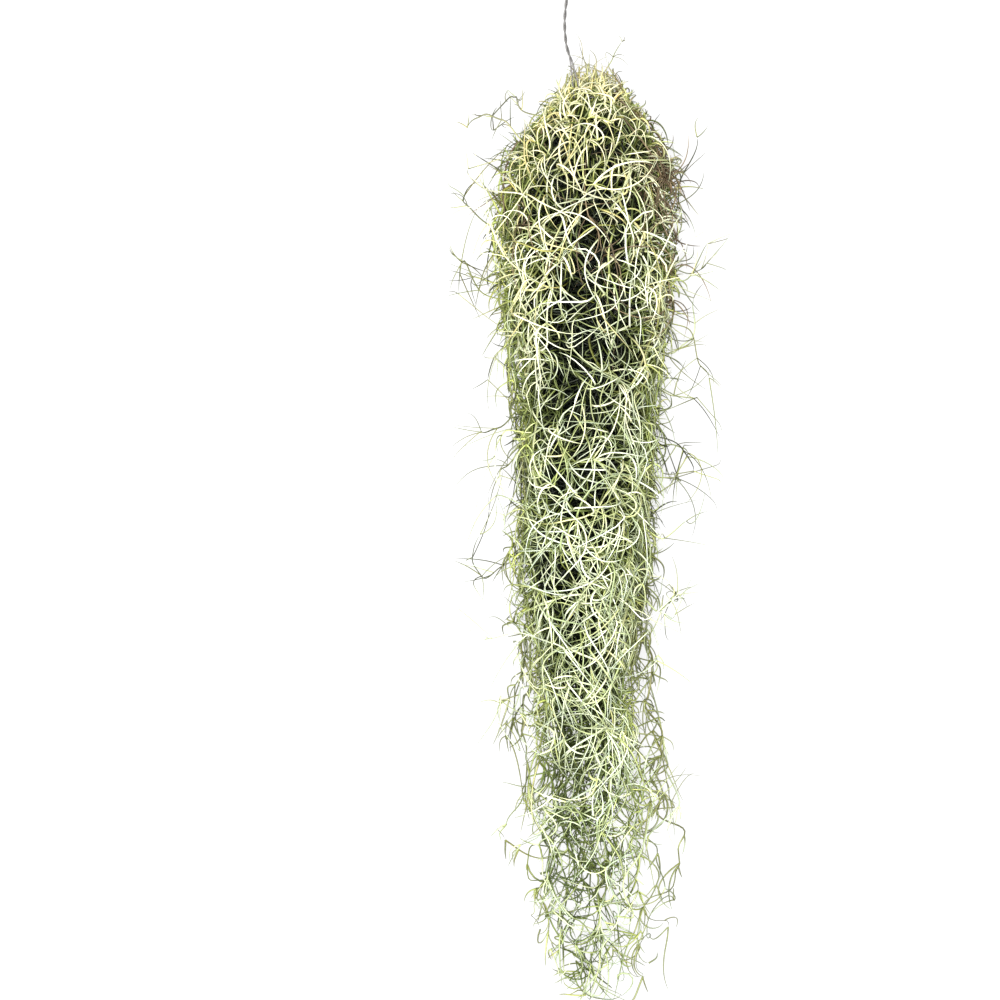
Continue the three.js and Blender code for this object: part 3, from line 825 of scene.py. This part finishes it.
# A thin sprig that stands up out of the crown: from its strand's neck, each node stands above the last one
# and a little further out.
def topSprig(strand):
    form, count = topShape, topShape["nodes"]
    root = strandCentre(strand, np.array([rng.uniform(*form["from"])]))[0]
    right, up = form["leanAll"]
    heading = np.array([right + form["lean"] * strand["across"], 1, up + form["lean"] * strand["up"]])
    turns = unit(heading + rng.normal(0, form["straying"], (count, 3)))
    steps = turns * rng.uniform(*form["apart"], count)[:, None]
    place = root + np.concatenate([np.zeros((1, 3)), np.cumsum(steps, axis=0)])
    slope = np.concatenate([turns, turns[-1:]]) + rng.normal(0, form["bent"], place.shape)
    return heldInside(curveThrough(place, slope))[None]


archShape = {
    "down": (60, 400),
    "nodes": (4, 7),
    "turn": (0.3, 0.62),  # radians round the bunch from one node to the next
    "drop": (2, 9),  # distance down, or up, from one node to the next
    "uneven": 4,
    "reach": (0.86, 1.04),
    "most": 1.15,  # how far out of the outline it may stand
    "slope": 0.35,
    "radius": (0.66, 0.86),
    "above": 0.2,  # strands that lie lower have none
}


# A long stem that runs across the top of the bunch: it leaves its strand and each node stands a bit further
# round, and further down or up, so that it follows the outline.
def archStem(strand):
    form = archShape
    count = rng.integers(*form["nodes"]) + 1
    way = -1 if strand["across"] > 0 else 1
    begin = math.atan2(strand["up"], strand["across"])
    turn = begin - way * np.cumsum(rng.uniform(*form["turn"], count))
    start = rng.uniform(*form["down"])
    down = start + np.cumsum(rng.uniform(*form["drop"], count) * rng.choice([-1, 1]))
    down += rng.normal(0, form["uneven"], count)
    place = placesRound(turn, down, rng.uniform(*form["reach"], count))
    place[0] = strandCentre(strand, down[:1])[0]
    slope = unit(np.gradient(place, axis=0)) + rng.normal(0, form["slope"], place.shape)
    return heldInside(drawnIn(curveThrough(place, slope), form["most"]))[None]


# A short side stem that stands out of the bunch: it leaves a long stem outwards, and each stretch turns off
# the last by a random angle.
def sideSprig(stem):
    form = sprigShape
    count = rng.integers(*form["nodes"]) + 1
    low, high = form["down"]
    out, wayOut = outness(stem[0])
    reached = -stem[0, :, 1]
    onLeft, onRight = throughRows(sprigRows, 1, reached), throughRows(sprigRows, 2, reached)
    worth = (ease(out, *form["rootOut"]) + form["elsewhere"]) * np.where(stem[0, :, 0] < 0, onLeft, onRight)
    worth = worth * ((reached > low) & (reached < high))
    at = rng.choice(len(out), p=worth / worth.sum())
    place = np.empty((count, 3))
    highUp, lowUp = form["upwards"]
    upwards = highUp + (lowUp - highUp) * ease(reached[at], *form["upwardsDown"])
    direction = wayOut[at] * form["heading"] + rng.normal(0, form["straying"], 3)
    direction = unit(direction + np.array([0, upwards, 0]))
    place[0], slopes = stem[0, at], [direction]
    for i in range(1, count):
        place[i] = place[i - 1] + direction * rng.uniform(*form["apart"])
        axis = unit(np.cross(direction, rng.normal(0, 1, 3)))
        direction = turned(direction, axis, np.array(rng.uniform(*form["turn"])))
        slopes.append(direction)
    line = curveThrough(place, np.array(slopes) * rng.uniform(*form["swing"], count)[:, None])
    most = np.clip(form["furthest"][0] / throughRows(outlineRows, 1, -line[:, 1]), *form["most"])
    return heldInside(drawnIn(line, most, form["keep"]))[None]


thinner = {"share": 0.65, "down": (-3, 30)}  # threads at the very top of the crown


# One set of tubes along threads. Each has a random thickness at its root, and along it root (1 - t s^p).
def setOf(points, radius, taper, tints):
    s = np.linspace(0, 1, points.shape[1])
    radii = rng.uniform(*radius, len(points))[:, None] * (1 - taper[0] * s**taper[1])
    radii *= thinner["share"] + (1 - thinner["share"]) * ease(-points[..., 1], *thinner["down"])
    return {"points": points, "radii": radii, "sides": 3, "tints": tints(points)}


# A stem and its leaves, as two sets of tubes.
def leafyStem(stem, radius, form=leafShape, tints=livingTints):
    bare = setOf(stem, radius, stemShape["taper"], tints)
    leaves = leafSet(stem, form)
    return [bare, setOf(leaves, form["radius"], form["taper"], tints)]


mossFinish = {
    "shader": {"Roughness": 0.48, "Specular IOR Level": 0.25},
    "noiseDetail": 2,
    "mottleScale": 160,
    "mottleRange": (0.3, 0.7),
    "livingMottle": 0.16,
    "dryMottle": 0.3,
    "scaleSize": 1400,  # the fine scales on the skin of a thread
    "scaleStrength": 0.35,
    "scaleHeight": 0.2,
}


# Fine noise on Object coordinates.
def noiseNode(material, place, size):
    noise = material.node_tree.nodes.new("ShaderNodeTexNoise")
    noise.inputs["Scale"].default_value = size
    noise.inputs["Detail"].default_value = mossFinish["noiseDetail"]
    material.node_tree.links.new(place.outputs["Object"], noise.inputs["Vector"])
    return noise


# A new material and its shader, with some of the shader's values.
def materialWith(name, values):
    material = bpy.data.materials.new(name)
    material.use_nodes = True
    shader = material.node_tree.nodes["Principled BSDF"]
    for socket, value in values.items():
        shader.inputs[socket].default_value = value
    return material, shader


# Colour is the tint of each thread times noise from 1 - mottle to 1 + mottle. A fine bump makes its scales.
def threadMaterial(name, mottle):
    material, shader = materialWith(name, mossFinish["shader"])
    nodes, links = material.node_tree.nodes, material.node_tree.links
    tint = nodes.new("ShaderNodeAttribute")
    tint.attribute_name = "tint"
    place = nodes.new("ShaderNodeTexCoord")
    noise = noiseNode(material, place, mossFinish["mottleScale"])
    spread = nodes.new("ShaderNodeMapRange")
    limits = (*mossFinish["mottleRange"], 1 - mottle, 1 + mottle)
    for socket, limit in zip(("From Min", "From Max", "To Min", "To Max"), limits):
        spread.inputs[socket].default_value = limit
    mottled = nodes.new("ShaderNodeVectorMath")
    mottled.operation = "SCALE"
    links.new(noise.outputs["Fac"], spread.inputs["Value"])
    links.new(tint.outputs["Color"], mottled.inputs[0])
    links.new(spread.outputs["Result"], mottled.inputs["Scale"])
    links.new(mottled.outputs["Vector"], shader.inputs["Base Color"])
    scales = noiseNode(material, place, mossFinish["scaleSize"])
    raised = nodes.new("ShaderNodeBump")
    raised.inputs["Strength"].default_value = mossFinish["scaleStrength"]
    raised.inputs["Distance"].default_value = mossFinish["scaleHeight"] * mm
    links.new(scales.outputs["Fac"], raised.inputs["Height"])
    links.new(raised.outputs["Normal"], shader.inputs["Normal"])
    return material


livingMoss = threadMaterial("livingMoss", mossFinish["livingMottle"])
dryMoss = threadMaterial("dryMoss", mossFinish["dryMottle"])

threads = 0
for strand in livingStrands():
    across, up = strand["across"], strand["up"]
    inner = strand["ring"] < strands["rings"]
    sets, sprigs = [], []
    for share in stemShape["innerShares" if inner else "shares"]:
        straggling = share == 1 and abs(across) > stemShape["stragglersAcross"]
        fan = across * rng.uniform(*stemShape["stragglers"]) if straggling else 0
        stem = stemLine(strand, share, fan)
        if not inner and up > sprigShape["above"]:
            wanted = sprigShape["onSide" if abs(across) > sprigShape["sideAcross"] else "onTop"]
            offered = rng.integers(*sprigShape["perStem"])
            sprigs += [sideSprig(stem) for _ in range(offered) if len(sprigs) < wanted]
        leaves = leafSet(stem, innerLeafShape if inner else leafShape)
        sets.append(setOf(stem, stemShape["radius"], stemShape["taper"], livingTints))
        sets.append(setOf(leaves, leafShape["radius"], leafShape["taper"], livingTints))
    collars = collarShape["sprigs"] if up > collarShape["above"] else 0
    for form in [crownShape] * crownShape["sprigs"] + [collarShape] * collars:
        sets += leafyStem(crownStem(strand, form), form["radius"])
    if not inner and up > archShape["above"]:
        sets += leafyStem(archStem(strand), archShape["radius"])
    for stem in sprigs:
        sets += leafyStem(stem, sprigShape["radius"], sprigLeafShape)
    if inner and rng.uniform(0, 1) < topShape["share"]:
        sets += leafyStem(topSprig(strand), topShape["radius"], topLeafShape)
    piece = meshOfTubes(strand["name"] + "_threads", sets)
    piece.data.materials.append(livingMoss)
    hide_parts(strand["name"])
    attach(piece, "root")
    threads += sum(len(each["points"]) for each in sets)
print("living strands made:", threads, "threads")

dryShape = {
    "shares": (0.9, 0.6, 0.5),  # lengths of the stems of a full strand
    "thinShares": (0.75,),  # and of the others
    "fullAcross": 0.5,  # strands further across than this are full
    "radius": (0.55, 0.65),
}

for strand in dryStrands():
    full = strand["across"] > dryShape["fullAcross"]
    stems = [stemLine(strand, share, 0) for share in dryShape["shares" if full else "thinShares"]]
    if full:
        stems += [crownStem(strand, dryCrownShape) for _ in range(dryCrownShape["sprigs"])]
    sets = []
    for stem in stems:
        sets += leafyStem(stem, dryShape["radius"], dryLeafShape, dryTints)
    piece = meshOfTubes(strand["name"] + "_threads", sets)
    piece.data.materials.append(dryMoss)
    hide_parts(strand["name"])
    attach(piece, "root")
print("dry strands made")


wire = {
    "radius": 0.5,
    "sides": 8,
    "tieRadius": 17.3,
    "tieSteps": 60,
    "legsAngle": 114,  # degrees round the noose where the wire goes on to the stem
    "legsApart": 8,  # and from there to either end of the noose
    "legSteps": 10,
    "turn": 14,  # length in which the two wires go once round each other
    "apart": 1.04,  # how far apart the middles of the two stand, in thicknesses
    # X, distance down and Z along the twisted pair
    "stem": [(-11.4, 6, 51.5), (-14.4, -4, 50.5), (-15.4, -18, 49.5), (-14, -33, 48.5), (-13, -46, 47.5)],
    "hookRadius": 8,
    "hookAngle": 215,
    "hookSteps": 14,
    "pairStep": 0.9,  # from one ring to the next
    "pathStep": 0.8,
    "ends": (0.6, 0.92),  # thickness of the two rings next to an end
    "shader": {"Roughness": 0.5, "Metallic": 0.7, "Base Color": (0.13, 0.125, 0.12, 1)},
}


# Points of a smooth line through some points, at equal steps: a Catmull-Rom curve between each pair,
# ((2b) + (c-a) s + (2a-5b+4c-d) s^2 + (3b-a-3c+d) s^3) / 2.
def smoothLine(through, spacing):
    p = np.array(through, float)
    p = np.concatenate([2 * p[:1] - p[1:2], p, 2 * p[-1:] - p[-2:-1]])
    s = np.linspace(0, 1, 24, endpoint=False)[None, :, None]
    a, b, c, d = (p[i:len(p) - 3 + i, None] for i in range(4))
    line = (2*b + (c - a)*s + (2*a - 5*b + 4*c - d)*s**2 + (3*b - a - 3*c + d)*s**3) / 2
    line = np.concatenate([line.reshape(-1, 3), p[-2:-1]])
    along = np.concatenate([[0], np.cumsum(np.linalg.norm(np.diff(line, axis=0), axis=1))])
    even = np.linspace(0, along[-1], int(along[-1] / spacing) + 2)
    return np.stack([np.interp(even, along, line[:, i]) for i in range(3)], -1)


# One wire bent double: from the hook's end down the twisted pair, round the noose and back up. The two
# wires of the pair stand at +-radius (cos a n + sin a b), with a turning once in each turn length.
def wirePath():
    angle = np.radians(np.linspace(180, 180 - wire["hookAngle"], wire["hookSteps"])[1:])
    x, down, z = wire["stem"][-1]
    bend = wire["hookRadius"]
    hook = [(x + bend * (1 + math.cos(a)), bend * math.sin(a) - down, z) for a in angle]
    pair = smoothLine([(x, -y, z) for x, y, z in wire["stem"]] + hook, wire["pairStep"])
    tangent = unit(np.gradient(pair, axis=0))
    side = unit(np.cross(tangent, [0, 0, 1.0]))
    turn = np.arange(len(pair)) * wire["pairStep"] / wire["turn"] * 2 * math.pi
    apart = side * np.cos(turn)[:, None] + np.cross(tangent, side) * np.sin(turn)[:, None]
    apart *= wire["radius"] * wire["apart"]
    first, last = wire["legsAngle"] + wire["legsApart"], wire["legsAngle"] - wire["legsApart"] + 360
    around = np.radians(np.linspace(first, last, wire["tieSteps"]))
    noose = np.stack([
        wire["tieRadius"] * np.cos(around),
        np.full_like(around, -bunch["tieDown"]),
        wire["tieRadius"] * np.sin(around) + bunch["tieHeight"],
    ], -1)
    return pair, apart, noose


pairMiddle, pairApart, noose = wirePath()
oneSide, otherSide = pairMiddle + pairApart, pairMiddle - pairApart
if np.linalg.norm(oneSide[0] - noose[0]) > np.linalg.norm(otherSide[0] - noose[0]):
    oneSide, otherSide = otherSide, oneSide
legDown = np.linspace(oneSide[0], noose[0], wire["legSteps"])[1:-1]
legUp = np.linspace(noose[-1], otherSide[0], wire["legSteps"])[1:-1]
knots = np.concatenate([oneSide[::-1][::2], legDown, noose[::3], noose[-1:], legUp, otherSide[::2]])
path = smoothLine(knots, wire["pathStep"])
radii = np.full(len(path), wire["radius"])
radii[:2] *= wire["ends"]
radii[-3:] *= (*wire["ends"][::-1], 0)
steel, _ = materialWith("darkWire", wire["shader"])
hanger = meshOfTubes("wire_hanger_wire", [{
    "points": path[None], "radii": radii[None], "sides": wire["sides"],
    "tints": np.broadcast_to(wire["shader"]["Base Color"][:3], (1, len(path), 3)),
}], columns=1)
hanger.data.materials.append(steel)
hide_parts("wire_hanger")
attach(hanger, "root")
print("wire made:", len(path), "rings")


# Floor and light. Sizes here are in metres.
studio = {
    "floorEdge": 9,
    "floor": {
        "Base Color": (0.15, 0.15, 0.15, 1),
        "Roughness": 0.9,
        "Emission Color": (1, 1, 1, 1),
        "Emission Strength": 0.76,
    },
    "lampPlace": (-0.2, 0.18, 1.4),
    "lampSize": 0.9,
    "lampPower": 50,
    "sky": {"Color": (1, 1, 1, 1), "Strength": 0.75},
}
edge = studio["floorEdge"]
corners = [(-edge, -edge, 0), (edge, -edge, 0), (edge, edge, 0), (-edge, edge, 0)]
floorMesh = bpy.data.meshes.new("floor")
floorMesh.from_pydata(corners, [], [(0, 1, 2, 3)])
floor = bpy.data.objects.new("floor", floorMesh)
bpy.context.scene.collection.objects.link(floor)
paper, _ = materialWith("paper", studio["floor"])
floorMesh.materials.append(paper)
floor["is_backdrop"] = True

lamp = bpy.data.lights.new("topLight", "AREA")
lamp.shape = "DISK"
lamp.size = studio["lampSize"]
lamp.energy = studio["lampPower"]
light = bpy.data.objects.new("topLight", lamp)
light.location = studio["lampPlace"]
light.rotation_mode = "QUATERNION"
light.rotation_quaternion = (-Vector(studio["lampPlace"])).to_track_quat("-Z", "Y")
bpy.context.scene.collection.objects.link(light)

world = bpy.data.worlds.new("softWorld")
bpy.context.scene.world = world
world.use_nodes = True
for socket, value in studio["sky"].items():
    world.node_tree.nodes["Background"].inputs[socket].default_value = value
print("floor and light made")

# Camera over the bunch, nearer to its crown, with the crown at the top of the picture
view = {
    "tilt": 9.1,  # degrees
    "target": (-0.0547, 0.0027, 0.033),
    "distance": 1.10,
    "sensor": 36,
    "lens": 60.9,
}
cosTilt, sinTilt = math.cos(math.radians(view["tilt"])), math.sin(math.radians(view["tilt"]))
cameraData = bpy.data.cameras.new("camera")
cameraData.sensor_width = view["sensor"]
cameraData.lens = view["lens"]
camera = bpy.data.objects.new("camera", cameraData)
camera.rotation_mode = "QUATERNION"
turn = Matrix(((1, 0, 0), (0, cosTilt, sinTilt), (0, -sinTilt, cosTilt)))
camera.rotation_quaternion = turn.to_quaternion()
camera.location = Vector(view["target"]) + Vector((0, sinTilt, cosTilt)) * view["distance"]
bpy.context.scene.collection.objects.link(camera)
bpy.context.scene.camera = camera
bpy.context.scene.view_settings.view_transform = "Standard"

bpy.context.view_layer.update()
faces = [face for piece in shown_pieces() if piece.type == "MESH" for face in piece.data.polygons]
print("triangles:", sum(len(face.vertices) - 2 for face in faces))
